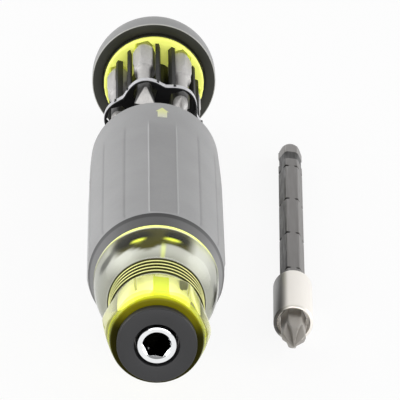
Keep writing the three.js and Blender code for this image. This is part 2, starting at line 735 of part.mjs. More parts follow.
function socketSleeve() {
  const outside = revolve([
    [0, 0],
    [SLEEVE_RADIUS - SLEEVE_BEVEL, 0],
    [SLEEVE_RADIUS, SLEEVE_BEVEL],
    [SLEEVE_RADIUS, SLEEVE_LENGTH - SLEEVE_BEVEL],
    [SLEEVE_RADIUS - SLEEVE_BEVEL, SLEEVE_LENGTH],
    [0, SLEEVE_LENGTH],
  ], FINE);
  const mouth = revolve([
    [0, -OVERRUN],
    [SLEEVE_MOUTH_RADIUS, -OVERRUN],
    [SLEEVE_MOUTH_RADIUS, SLEEVE_MOUTH_DEPTH - SLEEVE_MOUTH_RADIUS + SOCKET_CORNER],
    [SOCKET_CORNER, SLEEVE_MOUTH_DEPTH],
    [0, SLEEVE_MOUTH_DEPTH],
  ], FINE);
  const grooveHalf = RING_LENGTH / 2 + RUNNING_GAP;
  const grooveRadius = RING_INNER + RING_THICKNESS + RUNNING_GAP;
  const grooveInner = SOCKET_FLATS / 2;
  const groove = ring(grooveInner, grooveRadius, RING_PLACE - grooveHalf, RING_PLACE + grooveHalf, MEDIUM);
  const socket = hexRod(SOCKET_FLATS, -OVERRUN, SLEEVE_LENGTH + OVERRUN);
  return outside.subtract(mouth).subtract(socket).subtract(groove);
}

function retainingRing() {
  const half = radians(SPRING_OPENING_DEG / 2);
  const shape = new THREE.Shape();
  shape.absarc(0, 0, RING_INNER + RING_THICKNESS, half, 2 * Math.PI - half, false);
  shape.absarc(0, 0, RING_INNER, 2 * Math.PI - half, half, true);
  return along(shape, RING_PLACE - RING_LENGTH / 2, RING_PLACE + RING_LENGTH / 2);
}

const sleeveMagnet = () => rod(MAGNET_RADIUS, MAGNET_START, MAGNET_END, COARSE);

function driverBit() {
  const tip = crossTip(DRIVER_NECK_RADIUS, DRIVER_TIP_LENGTH).translate([0, -DRIVER_HEX_PROUD, 0]);
  return chamferedHex(-DRIVER_HEX_PROUD, DRIVER_REAR).add(tip);
}

// Assembly

function piece(name, body, material) {
  const mesh = new THREE.Mesh(geometryOf(body), material);
  mesh.name = name;
  return mesh;
}

const handle = new THREE.Group();
handle.position.set(0, -ORIGIN_S, AXIS_HEIGHT);
handle.add(
  piece('handle_core', handleCore(), LIME_CLEAR),
  piece('grip', grip(), GREY_SOFT),
  piece('pull_arrow', pullArrow(), LIME_PALE),
  piece('nose_bush', noseBush(), BLACK_PLASTIC),
  piece('socket_tube', socketTube(), CHROME),
  piece('detent_ball', detentBall(), STEEL),
  piece('detent_spring', detentSpring(), SPRING_STEEL),
);

const store = new THREE.Group();
store.position.copy(handle.position);
store.add(
  piece('cap_shell', capShell(), BLACK_CAP),
  piece('cap_liner', capLiner(), LIME_OPAQUE),
  piece('bit_carrier', bitCarrier(), BLACK_PLASTIC),
  piece('carrier_guide', carrierGuide(), BLACK_PLASTIC),
);
for (let i = 0; i < BIT_COUNT; i += 1) {
  store.add(piece(`stored_bit_${i + 1}`, storedBit(i), STEEL));
}

// The shaft lies on its sleeve and on the flat under its rear end
const sleeveRest = SLEEVE_LENGTH - SLEEVE_BEVEL;
const barRest = SHAFT_REAR - SHAFT_DOME_LENGTH;
const shaftTilt = Math.atan2(SLEEVE_RADIUS - HEX_FLATS / 2, barRest - sleeveRest);
const shaftHeight = sleeveRest * Math.sin(shaftTilt) + SLEEVE_RADIUS * Math.cos(shaftTilt);
const shaft = new THREE.Group();
shaft.position.set(SHAFT_X, SHAFT_Y, shaftHeight);
shaft.rotation.set(-shaftTilt, 0, radians(SHAFT_YAW_DEG), 'ZYX');
shaft.add(
  piece('driver_shaft', driverShaft(), DARK_STEEL),
  piece('socket_sleeve', socketSleeve(), NICKEL),
  piece('sleeve_magnet', sleeveMagnet(), SPRING_STEEL),
  piece('retaining_ring', retainingRing(), SPRING_STEEL),
  piece('driver_bit', driverBit(), STEEL),
);

const screwdriver = new THREE.Group();
screwdriver.add(handle, store, shaft);

export default screwdriver;
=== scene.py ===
"""Multi-bit screwdriver with its bit store pulled out and its shaft lying beside it."""

import math

import bmesh
import bpy
from mathutils import Matrix, Vector


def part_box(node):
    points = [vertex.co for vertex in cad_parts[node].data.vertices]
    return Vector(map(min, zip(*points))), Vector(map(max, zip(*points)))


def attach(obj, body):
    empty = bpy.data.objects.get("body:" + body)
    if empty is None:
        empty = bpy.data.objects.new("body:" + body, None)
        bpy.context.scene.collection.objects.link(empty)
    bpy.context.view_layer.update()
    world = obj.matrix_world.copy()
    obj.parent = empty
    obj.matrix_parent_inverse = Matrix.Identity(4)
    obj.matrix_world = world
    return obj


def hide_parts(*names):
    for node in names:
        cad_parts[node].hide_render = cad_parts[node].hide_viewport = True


bl_info = {
    "name": "Multi-bit screwdriver",
    "version": (1, 0, 0),
    "blender": (4, 5, 0),
    "location": "View3D > Sidebar > Screwdriver",
    "description": "Builds the finished pieces of a multi-bit screwdriver round its fixed frame",
    "category": "Add Mesh",
}

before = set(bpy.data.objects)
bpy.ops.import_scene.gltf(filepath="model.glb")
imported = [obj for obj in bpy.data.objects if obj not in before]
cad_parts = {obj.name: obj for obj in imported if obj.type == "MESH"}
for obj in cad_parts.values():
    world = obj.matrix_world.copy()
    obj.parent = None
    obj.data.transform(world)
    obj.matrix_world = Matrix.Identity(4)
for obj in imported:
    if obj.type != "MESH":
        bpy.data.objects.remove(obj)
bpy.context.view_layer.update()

MM = 0.001
NOSE_LOW, NOSE_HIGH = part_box("nose_bush")
NOSE_Y = NOSE_LOW.y
AXIS_Z = (NOSE_LOW.z + NOSE_HIGH.z) / 2
HEX_CORNERS = [60 * corner for corner in range(6)]

# The stored bits stand in a circle round the axis, the first one at BIT_PHASE degrees.
BIT_NAMES = [f"stored_bit_{number}" for number in range(1, 7)]
BIT_KINDS = ("blade", "cross", "square", "star", "blade", "cross")
BIT_PHASE = 111.5
BIT_STEP = 60
BIT_CIRCLE = 11.2
NECK_RADIUS = 2.25
NECK_FRONT = 154.6
NECK_REAR = 161.5

# Directions round the grip, in degrees. The side it lies on has no panel.
GRIP_SIDES = (0, 90, 180, 270)
PANEL_SIDES = (0, 90, 180)
PANEL_HALF = 12.9
EDGE_STEPS = (-13.4, -12.9, -12.6, -12.3, -12, -11.7, -11.3, 11.3, 11.7, 12, 12.3, 12.6, 12.9, 13.4)
GRIP_GROOVES = (33.4, 56.6, 123.4, 146.6, 213.4, 236.6, 303.4, 326.6)
GROOVE_STEPS = (-2.2, -1.2, -0.6, 0, 0.6, 1.2, 2.2)

# The loose shaft rests on its sleeve and on its far end, each given as a radius and a place.
SLEEVE_RADIUS, SLEEVE_FOOT = 5.65, 25.5
BAR_RADIUS, BAR_FOOT = 3.175, 131.1
SHAFT_REAR = 134.3
NOTCH_FIRST, NOTCH_PITCH, NOTCH_COUNT = 21, 26.7, 4
SHAFT_TILT = math.atan2(SLEEVE_RADIUS - BAR_RADIUS, BAR_FOOT - SLEEVE_FOOT)
SHAFT_YAW = math.radians(-1.6)
SHAFT_HEIGHT = SLEEVE_FOOT * math.sin(SHAFT_TILT) + SLEEVE_RADIUS * math.cos(SHAFT_TILT)
SHAFT_PLACE = (
    Matrix.Translation((0.0407, -0.022, SHAFT_HEIGHT * MM))
    @ Matrix.Rotation(SHAFT_YAW, 4, "Z")
    @ Matrix.Rotation(-SHAFT_TILT, 4, "X")
)

# Painted shadows and painted glints inside the dome, standing in for what the clear plastic reflects and lets
# through:
# direction and half width in degrees from the top, place and half depth in millimetres, and strength.
DOME_SHADOWS = (
    (-33, 24, 38, 2.8, 1),
    (15, 14, 38, 2.8, 1),
    (-67, 13, 36.5, 1.6, 0.75),
    (91, 15, 35.4, 1.4, 0.85),
)
DOME_GLINTS = (
    (-25, 9, 36.1, 0.5, 1),
    (10, 10, 36.1, 0.5, 1),
    (1, 3, 32.4, 2.2, 0.3),
)

# Painted shade and painted light at the nose edge of the flare: where each tint ends, in millimetres, then
# colour and strength.
NOSE_EDGE = (
    (2.95, (0.11, 0.1, 0.003, 1)),
    (3.2, (0.18, 0.17, 0.004, 1)),
    (3.7, (0.5, 0.53, 0.012, 0.75)),
    (5.5, (0.9, 0.96, 0.05, 0.35)),
    (7, (1, 1, 0.2, 0.1)),
)

# Sockets of a colour mix node.
MIX_SHARE, MIX_FIRST, MIX_SECOND, MIX_RESULT = 0, 6, 7, 2

# Each lamp's name, place, width and power.
LAMP_TARGET = (0, 0.02, 0.02)
LAMPS = (
    ("left_lamp", (-0.8, 0.1, 0.22), 1.1, 6.5),
    ("right_lamp", (0.8, 0.1, 0.22), 1.1, 5.5),
    ("front_lamp", (0.1, -1.1, 0.3), 0.9, 7.5),
)

# The camera's place, its yaw, pitch and roll in degrees, and its focal length in millimetres.
CAMERA_PLACE = (-0.06573, -1.1778, 0.54114)
CAMERA_TURN = (3.742, 23.344, 7.396)
CAMERA_LENS = 405


# Shapes


def mm(value):
    """Millimetres to metres."""
    return value * MM


def in_mm(points):
    """An outline of (radius, place) points, from millimetres to metres."""
    return [(mm(radius), mm(place)) for radius, place in points]


def prism(flats, sides=6, turn=0.0):
    """Radius of a regular prism, flat side up, at an angle in radians."""
    def radius(angle):
        part = 2 * math.pi / sides
        offset = (angle - turn - math.pi / 2 + part / 2) % part - part / 2
        return flats / 2 / math.cos(offset)
    return radius


def tighter(*limits, sharpness=70):
    """The smallest of several radii, with a slightly rounded change from one to the next."""
    def radius(angle):
        values = [limit(angle) if callable(limit) else limit for limit in limits]
        least = min(values)
        total = sum((least / value) ** sharpness for value in values)
        return least * total ** (-1 / sharpness)
    return radius


def wider(*limits):
    """The largest of several radii at an angle."""
    def radius(angle):
        return max(limit(angle) if callable(limit) else limit for limit in limits)
    return radius


def sweep(start_radius, start, end_radius, end, steps):
    """Quarter-ellipse of (radius, place) points, level where it ends."""
    points = []
    for step in range(steps + 1):
        angle = math.pi / 2 * step / steps
        radius = start_radius + (end_radius - start_radius) * math.sin(angle)
        points.append((radius, end - (end - start) * math.cos(angle)))
    return points


def rounded(points, size):
    """A (radius, place) outline whose corners, apart from its ends, are rounded off by a small size."""
    steps, most = 3, 0.45
    result = [points[0]]
    for before, corner, after in zip(points, points[1:], points[2:]):
        here = Vector(corner)
        first = Vector(before) - here
        second = Vector(after) - here
        reach = min(size, first.length * most, second.length * most)
        a = here + first.normalized() * reach
        b = here + second.normalized() * reach
        for step in range(steps + 1):
            t = step / steps
            point = a * (1 - t) ** 2 + here * 2 * t * (1 - t) + b * t ** 2
            result.append((point.x, point.y))
    result.append(points[-1])
    return result


def even(count):
    """Angles of an even division of a full turn."""
    return [2 * math.pi * index / count for index in range(count)]


def refined(count, marks, offsets):
    """An even division with more angles, in degrees, beside each mark."""
    extra = [math.radians(mark + offset) % (2 * math.pi) for mark in marks for offset in offsets]
    kept = []
    for angle in sorted(even(count) + extra):
        if not kept or angle - kept[-1] > 0.002:
            kept.append(angle)
    return kept


def ring_point(section, angle, place):
    """A point of a ring whose section is a radius, or gives a radius or a point for an angle."""
    reach = section(angle) if callable(section) else section
    if isinstance(reach, tuple):
        return (reach[0], place, reach[1])
    return (reach * math.cos(angle), place, reach * math.sin(angle))


def finished_mesh(name, build):
    """A mesh of what was built, with its faces turned outwards."""
    mesh = bpy.data.meshes.new(name)
    bmesh.ops.recalc_face_normals(build, faces=build.faces)
    build.to_mesh(mesh)
    build.free()
    return mesh


def loft(name, rings, angles, closed=False, sharp=32, shade=None, hue=None):
    """A smooth-shaded mesh through rings about the Y axis, each given as (section, place)."""
    build = bmesh.new()
    shades = build.verts.layers.float.new("shade")
    hues = build.verts.layers.float_color.new("hue") if hue else None
    loops = []
    for number, (section, place) in enumerate(rings):
        single = not callable(section) and section <= 1e-9
        loop = []
        for angle in [0] if single else angles:
            vertex = build.verts.new((0, place, 0) if single else ring_point(section, angle, place))
            vertex[shades] = shade(angle, place) if shade else 1
            if hue:
                vertex[hues] = hue(number, angle, place)
            loop.append(vertex)
        loops.append(loop)
    pairs = list(zip(loops, loops[1:]))
    if closed:
        pairs.append((loops[-1], loops[0]))
    for low, high in pairs:
        for index in range(len(angles)):
            after = (index + 1) % len(angles)
            if len(low) == 1 and len(high) == 1:
                break
            if len(low) == 1:
                build.faces.new((low[0], high[index], high[after]))
            elif len(high) == 1:
                build.faces.new((low[index], low[after], high[0]))
            else:
                build.faces.new((low[index], low[after], high[after], high[index]))
    mesh = finished_mesh(name, build)
    mesh.shade_smooth()
    mesh.set_sharp_from_angle(angle=math.radians(sharp))
    return mesh


def ease(value, low, high):
    """A smooth step from 0 at low to 1 at high."""
    t = min(max((value - low) / (high - low), 0), 1)
    return t * t * (3 - 2 * t)


def apart(angle, degrees):
    """Degrees between an angle in radians and a direction."""
    return abs((math.degrees(angle) - degrees + 180) % 360 - 180)


def line_at(angle, directions, width, power=2):
    """1 on a line in one of the directions, fading to 0 beside it."""
    return max(math.exp(-(apart(angle, direction) / width) ** power) for direction in directions)


def patches(table, lean, place):
    """How far a direction and a place lie within a table's soft patches, at most 1."""
    total = 0
    for middle, wide, far, deep, strength in table:
        away = ((lean - middle) / wide) ** 2 + ((place / MM - far) / deep) ** 2
        total += strength * math.exp(-away ** 3)
    return min(total, 1)


def turned_down(points, section, sharpness=160):
    """Rings of a bar with the given section, turned down to a (radius, place) outline."""
    rings = []
    for reach, place in points:
        rings.append((tighter(reach, section, sharpness=sharpness) if reach > 0 else 0, place))
    return rings


def blade_section(radius, share):
    """The round neck passing into a wide flat blade."""
    wide, thin, corner = 1.45, 0.24, 0.1

    def point(angle):
        across = max(min(math.cos(angle) / corner, 1), -1)
        through = max(min(math.sin(angle) / corner, 1), -1)
        x = (1 - share) * radius * math.cos(angle) + share * wide * radius * across
        z = (1 - share) * radius * math.sin(angle) + share * thin * radius * through
        return (x, z)
    return point


def cross_section(cone, web, roll):
    """A round bar with four square-cornered flutes down to a web."""
    def reach(angle):
        part = math.pi / 2
        off = abs((angle - roll - math.pi / 4 + part / 2) % part - part / 2)
        gap = math.cos(off) - math.sin(off)
        return min(cone, web / gap) if gap > 1e-6 else cone
    return reach


def star_section(radius):
    """A pin with six round flutes."""
    def reach(angle):
        return radius * (1 - 0.2 * (0.5 + 0.5 * math.cos(6 * angle)) ** 2)
    return reach


def tip_rings(kind, radius, reach, start, roll):
    """Rings of a driver tip that points towards the front from the given place."""
    steps, neck, taper = 24, 0.3, 0.97
    rings = []
    for step in range(1, steps + 1):
        t = step / steps
        if kind == "blade":
            section = blade_section(radius, t)
        elif kind == "cross":
            cone = radius * (1 - taper * max(0, (t - 0.5) / 0.5) ** 1.15)
            web = radius * (1 - taper * max(0, (t - 0.2) / 0.8) ** 0.6)
            section = cross_section(cone, web, roll)
        elif kind == "square":
            square = prism(1.25 * radius, 4)
            end = radius * (0.95 - 0.25 * max(0, (t - 0.88) / 0.12))
            section = radius * (1 - 0.05 * t / neck) if t < neck else tighter(end, square, sharpness=160)
        else:
            section = radius if t < neck else star_section(0.86 * radius)
        rings.append((section, start - reach * t))
    rings.append((0, start - reach))
    return rings


def add_piece(name, mesh, material, body, nodes, place):
    """Put a finished mesh in the scene, on its body, in place of the nodes it stands for."""
    mesh.transform(place)
    mesh.materials.append(material)
    piece = bpy.data.objects.new(name, mesh)
    bpy.context.scene.collection.objects.link(piece)
    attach(piece, body)
    if nodes:
        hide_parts(*nodes)


def dress(name, material):
    """Give a node of the frame its finish."""
    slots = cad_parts[name].data.materials
    slots.clear()
    slots.append(material)


def on_axis(x=0.0, z=0.0):
    """Placement of a mesh built about the handle's own axis, or beside it, measured from the nose face."""
    return Matrix.Translation((x, NOSE_Y, AXIS_Z + z))


# Finishes


def blank_material(name):
    """A node material with its shader and the links to it."""
    material = bpy.data.materials.new(name)
    material.use_nodes = True
    nodes = material.node_tree.nodes
    shader = nodes["Principled BSDF"]
    return material, nodes, material.node_tree.links, shader


def node(nodes, kind, inputs=(), **options):
    """A new shader node with its options and the values of its inputs."""
    made = nodes.new("ShaderNode" + kind)
    for name, value in options.items():
        setattr(made, name, value)
    for socket, value in dict(inputs).items():
        made.inputs[socket].default_value = value
    return made


def grain(nodes, links, scale, stretch=(1, 1, 1)):
    """Noise in object space, stretched along the axes."""
    place = node(nodes, "TexCoord")
    mapping = node(nodes, "Mapping", {"Scale": stretch})
    noise = node(nodes, "TexNoise", {"Scale": scale, "Detail": 3.0})
    links.new(place.outputs["Object"], mapping.inputs["Vector"])
    links.new(mapping.outputs["Vector"], noise.inputs["Vector"])
    return noise.outputs["Fac"]


def spread(nodes, links, value, low, high):
    """A noise value brought into a range."""
    ramp = node(nodes, "MapRange", {"From Min": 0.3, "From Max": 0.7, "To Min": low, "To Max": high})
    links.new(value, ramp.inputs["Value"])
    return ramp.outputs["Result"]


def tint(nodes, links, value, colour, amount):
    """A colour that a noise value makes a little darker and lighter."""
    ramp = node(nodes, "ValToRGB")
    low, high = ramp.color_ramp.elements
    low.position, high.position = 0.3, 0.7
    low.color = (*[channel * (1 - amount) for channel in colour], 1)
    high.color = (*[min(channel * (1 + amount), 1) for channel in colour], 1)
    links.new(value, ramp.inputs["Fac"])
    return ramp.outputs["Color"]


def relief(nodes, links, value, depth, strength=0.5):
    """A bump of a noise value."""
    bump = node(nodes, "Bump", {"Strength": strength, "Distance": depth})
    links.new(value, bump.inputs["Height"])
    return bump.outputs["Normal"]


def painted(nodes, links, colour, name):
    """A colour multiplied by the shade or the hue painted on a mesh."""
    paint = node(nodes, "Attribute", attribute_name=name)
    mix = node(nodes, "Mix", {MIX_SHARE: 1}, data_type="RGBA", blend_type="MULTIPLY")
    links.new(colour, mix.inputs[MIX_FIRST])
    links.new(paint.outputs["Color"], mix.inputs[MIX_SECOND])
    return mix.outputs[MIX_RESULT]


def moulded_plastic(
        name, colour, roughness, depth=0.00003, scale=1800, amount=0.05, specular=0.5, paint=""):
    """Opaque moulded plastic with a fine spark grain, and the painted shade or hue of its mesh."""
    material, nodes, links, shader = blank_material(name)
    fine = grain(nodes, links, scale)
    broad = grain(nodes, links, scale=90)
    base = tint(nodes, links, broad, colour, amount)
    links.new(painted(nodes, links, base, paint) if paint else base, shader.inputs["Base Color"])
    links.new(spread(nodes, links, fine, roughness - 0.06, roughness + 0.06), shader.inputs["Roughness"])
    links.new(relief(nodes, links, fine, depth), shader.inputs["Normal"])
    shader.inputs["Specular IOR Level"].default_value = specular
    return material


def worked_metal(
        name, colour, roughness, stretch=(1, 1, 1), scale=900, depth=0.00001, amount=0.08,
        paint=False, metallic=1.0):
    """Metal with marks stretched the way it was worked, and the painted shade of its mesh."""
    material, nodes, links, shader = blank_material(name)
    marks = grain(nodes, links, scale, stretch)
    base = tint(nodes, links, marks, colour, amount)
    links.new(painted(nodes, links, base, "shade") if paint else base, shader.inputs["Base Color"])
    links.new(spread(nodes, links, marks, roughness * 0.8, roughness * 1.25), shader.inputs["Roughness"])
    links.new(relief(nodes, links, marks, depth, 0.3), shader.inputs["Normal"])
    shader.inputs["Metallic"].default_value = metallic
    return material


def clear_plastic(name, absorbed, density, roughness, index=1.24, specular=0.12, painted_glow=0.42):
    """Clear plastic, deeper in colour with thickness; where its mesh is painted it turns opaque in the
    painted colour and glows with it, as painted light.
    """
    material, nodes, links, shader = blank_material(name)
    flow = grain(nodes, links, scale=60, stretch=(1, 0.25, 1))
    links.new(spread(nodes, links, flow, roughness * 0.5, roughness * 1.5), shader.inputs["Roughness"])
    paint = node(nodes, "Attribute", attribute_name="hue")
    links.new(paint.outputs["Color"], shader.inputs["Base Color"])
    clear = node(nodes, "Math", {0: 1}, operation="SUBTRACT")
    links.new(paint.outputs["Alpha"], clear.inputs[1])
    links.new(clear.outputs[0], shader.inputs["Transmission Weight"])
    # The painted colour glows: painted light.
    glow = node(nodes, "Math", {1: painted_glow}, operation="MULTIPLY")
    links.new(paint.outputs["Alpha"], glow.inputs[0])
    links.new(paint.outputs["Color"], shader.inputs["Emission Color"])
    links.new(glow.outputs[0], shader.inputs["Emission Strength"])
    shader.inputs["IOR"].default_value = index
    shader.inputs["Specular IOR Level"].default_value = specular
    volume = node(nodes, "VolumeAbsorption", {"Color": (*absorbed, 1), "Density": density})
    links.new(volume.outputs["Volume"], nodes["Material Output"].inputs["Volume"])
    return material


# Settings


def length(label, words, value):
    """A size that a user may change."""
    return bpy.props.FloatProperty(
        name=label, description=words, default=mm(value), unit="LENGTH", precision=5)


def colour(label, words, value):
    """A colour that a user may change."""
    return bpy.props.FloatVectorProperty(
        name=label, description=words, default=value, size=3, subtype="COLOR", min=0, max=1)


class ScrewdriverSizes(bpy.types.PropertyGroup):
    """Sizes of the finished pieces."""

    hex_flats: length("Hex drive", "Across the flats of the shaft and the bits", 6.35)
    grip_radius: length("Grip radius", "Half the width of the grip between its flats", 19.65)
    grip_flats: length("Grip flats", "Across the grip's flats", 38.3)
    panel_depth: length("Panel depth", "How far the grip's long panels are let in", 0.3)
    groove_depth: length("Groove depth", "Depth of the fine grooves along the grip", 0.12)
    flare_flats: length("Flare flats", "Across the flats of the clear front", 26.6)
    dome_radius: length("Dome radius", "Clear front where it meets the grip", 17.6)
    cap_radius: length("Cap radius", "Half the width of the end cap", 19.15)
    sleeve_radius: length("Sleeve radius", "Half the width of the shaft's sleeve", SLEEVE_RADIUS)
    edge: length("Edge", "Rounding of moulded edges", 0.35)


class ScrewdriverColours(bpy.types.PropertyGroup):
    """Colours of the finishes."""

    clear: colour("Clear front", "What the clear plastic lets through", (0.97, 0.99, 0.22))
    lime: colour("Lime", "Opaque lime plastic", (0.93, 0.97, 0.2))
    arrow: colour("Arrow", "Pale inlaid arrow", (0.7, 0.7, 0.56))
    grip: colour("Grip", "Soft grey grip", (0.325, 0.325, 0.328))
    black: colour("Black", "Black plastic of the nose and the guide", (0.015, 0.015, 0.0165))
    carrier: colour("Carrier", "Black plastic of the bit carrier", (0.008, 0.008, 0.0083))
    cap: colour("Cap face", "Black front of the cap", (0.022, 0.0225, 0.015))
    crown: colour("Cap crown", "Grey crown of the cap", (0.28, 0.28, 0.28))
    chrome: colour("Chrome", "Plated socket", (0.86, 0.87, 0.88))
    steel: colour("Steel", "Bits", (0.42, 0.41, 0.4))
    tip: colour("Tip steel", "Bit in the sleeve", (0.34, 0.32, 0.295))
    dark_steel: colour("Shaft steel", "Drawn shaft", (0.18, 0.173, 0.168))
    nickel: colour("Nickel", "Plated sleeve", (0.9, 0.86, 0.8))


def settings(context):
    """The sizes and the colours in use."""
    return context.scene.screwdriver_sizes, context.scene.screwdriver_colours


# Operators


class SCREWDRIVER_OT_clear_front(bpy.types.Operator):
    """Make the clear, six-sided front of the handle with its ringed neck and dome"""

    bl_idname = "screwdriver.clear_front"
    bl_label = "Clear front"
    bore = mm(5.6)

    def execute(self, context):
        sizes, colours = settings(context)
        start, flare_end, neck_end, dome_end = mm(2.9), mm(19.1), mm(27.5), mm(41.1)
        crest, wall_end = mm(13.5), mm(127.8)
        rim, peak, neck = mm(12.9), mm(15.1), mm(12.9)
        wall, store, plug, seat = mm(17.0), mm(15.75), mm(10.7), mm(7.5)
        flats = prism(sizes.flare_flats)
        rings = [(plug, start), (rim - mm(0.7), start), (rim - mm(0.2), start + mm(0.2))]
        rise = crest - start - mm(0.7)
        for step in range(27):
            t = step / 26
            swell = rim + (peak - rim) * math.sin(math.pi / 2 * t)
            rings.append((tighter(swell, flats), start + mm(0.7) + rise * t))
        for step in range(1, 9):
            t = step / 8
            swell = peak + (neck - peak) * (0.5 - 0.5 * math.cos(math.pi * t))
            rings.append((tighter(swell, flats), crest + (flare_end - crest) * t))
        ridges = 4
        pitch = (neck_end - flare_end) / ridges
        ridge = ((0.2, 0), (0.36, 0.04), (0.46, 0.34), (0.58, 0.45), (0.72, 0.45), (0.84, 0.3), (0.94, 0.03))
        for number in range(ridges):
            foot = flare_end + number * pitch
            for share, height in ridge:
                rings.append((neck + mm(height), foot + pitch * share))
        rings += sweep(mm(13.3), neck_end, sizes.dome_radius, dome_end, 20)
        rings += [(wall, dome_end), (wall, wall_end), (store, wall_end), (store, mm(42.4))]
        outside = len(rings)
        rings += list(reversed(sweep(mm(10.8), mm(30.5), store, mm(42.35), 18)))
        rings += [(self.bore, mm(30.5)), (self.bore, mm(21.02))]
        rings += [(self.slotted, mm(21)), (self.slotted, mm(10.02))]
        rings += [(seat, mm(10.0)), (seat, mm(7.6)), (plug, mm(7.58)), (plug, mm(7.4))]

        def hue(number, angle, place):
            return self.inner_hue(angle, place) if number >= outside else self.outer_hue(angle, place)

        slot = (-23.2, -23, -15, -8, 8, 15, 23, 23.2)
        mesh = loft("handle_core_clear", rings, refined(144, (90,), slot), closed=True, sharp=28, hue=hue)
        finish = clear_plastic("clear_lime", colours.clear, density=38, roughness=0.02)
        add_piece("handle_core_clear", mesh, finish, "handle", ["handle_core"], on_axis())
        return {"FINISHED"}

    def slotted(self, angle):
        """The bore with the slot above it."""
        up, across = math.sin(angle), abs(math.cos(angle))
        slot = min(mm(8.6) / up if up > 0.01 else 0, mm(2.2) / max(across, 0.01))
        return max(self.bore, slot)

    def outer_hue(self, angle, place):
        """Clear, with painted light and shade: a lit lime edge and a shaded band at the grip, shaded grooves
        and lit ridges on the neck, a shaded olive edge at the nose, shaded lines on the flare's corners, and
        pale painted light on its sides, shaded underneath.
        """
        lean = apart(angle, 90)
        # Painted shade at the grip's edge.
        if mm(42.3) < place < mm(42.45):
            return (0.05, 0.045, 0.01, 1)
        # Painted light: a lit lime edge by the grip.
        if mm(41.0) < place < mm(41.2):
            side = ease(lean, 30, 75)
            return (0.95 - 0.15 * side, 1 - 0.2 * side, 0.3 + 0.42 * side, 1)
        if mm(39.8) < place < mm(41.0):
            return (0.95, 1, 0.3, 0.9 - 0.9 * ease(lean, 25, 60))
        # Painted shade in the neck's grooves and painted light on its ridges.
        if mm(19.2) < place < mm(27.6):
            step = (place - mm(19.1)) / mm(2.1) % 1
            return (0.03, 0.03, 0.01, 0.95) if step < 0.5 or step > 0.9 else (1, 1, 0.4, 0.8)
        # Painted shade and light at the nose edge, darker round the sides.
        for end, hue in NOSE_EDGE:
            if place < mm(end):
                level = 1 - 0.88 * ease(lean, 45, 80) * (1 - ease(place, mm(3.2), mm(5.5)))
                return (*[channel * level for channel in hue[:3]], hue[3])
        if place < mm(19.1):
            low = ease(lean, 95, 115)
            # Painted shade along the flare's corners.
            if place > mm(7.5) and min(apart(angle, corner) for corner in HEX_CORNERS) < 1:
                return (0.3, 0.31, 0.03, 0.6)
            # Pale painted light on the flare's sides, painted shade underneath.
            painted_share = 0.35 * ease(lean, 50, 80) + 0.15 * low
            return (1 - 0.5 * low, 1 - 0.56 * low, 0.62 - 0.5 * low, painted_share)
        return (1, 1, 1, 0)

    def inner_hue(self, angle, place):
        """Painted light and shade inside, for what the clear plastic reflects and lets through: olive shade
        at the plug's seat, pale lemon light in the bores, shaded in the slot, and in the dome silver with
        painted shadows and glints.
        """
        # Painted shade where the nose plug sits.
        if place < mm(7.59):
            return (0.2, 0.18, 0.01, 1)
        lean = (90 - math.degrees(angle) + 180) % 360 - 180
        if place < mm(30.4):
            # Pale painted light in the bores, shaded in the slot.
            in_slot = abs(lean) < 22 and place < mm(21.01)
            return (0.6, 0.68, 0.06, 1) if in_slot else (1, 1, 0.92, 1)
        # Painted light and shade in the dome: silver, darker at the top and low on the sides, an olive shaded
        # band at the top, painted shadows and painted glints.
        silver = Vector((0.43, 0.435, 0.465))
        olive = Vector((0.045, 0.042, 0.007))
        dark = Vector((0.004, 0.004, 0.001))
        bright = Vector((0.9, 1, 0.1))
        edge = 34 - 1.8 * math.exp(-((lean + 16) / 14) ** 2)
        top = ease(place, mm(edge), mm(edge + 0.8)) * (1 - ease(abs(lean + 10), 34, 50))
        level = 0.6 + 0.2 * ease(place, mm(30.5), mm(33)) + 0.25 * ease(abs(lean), 20, 40)
        value = silver * (level - 0.45 * ease(abs(lean), 48, 75))
        value = value.lerp(olive, top)
        value = value.lerp(dark, patches(DOME_SHADOWS, lean, place))
        value = value.lerp(bright, patches(DOME_GLINTS, lean, place))
        return (*value, 1)


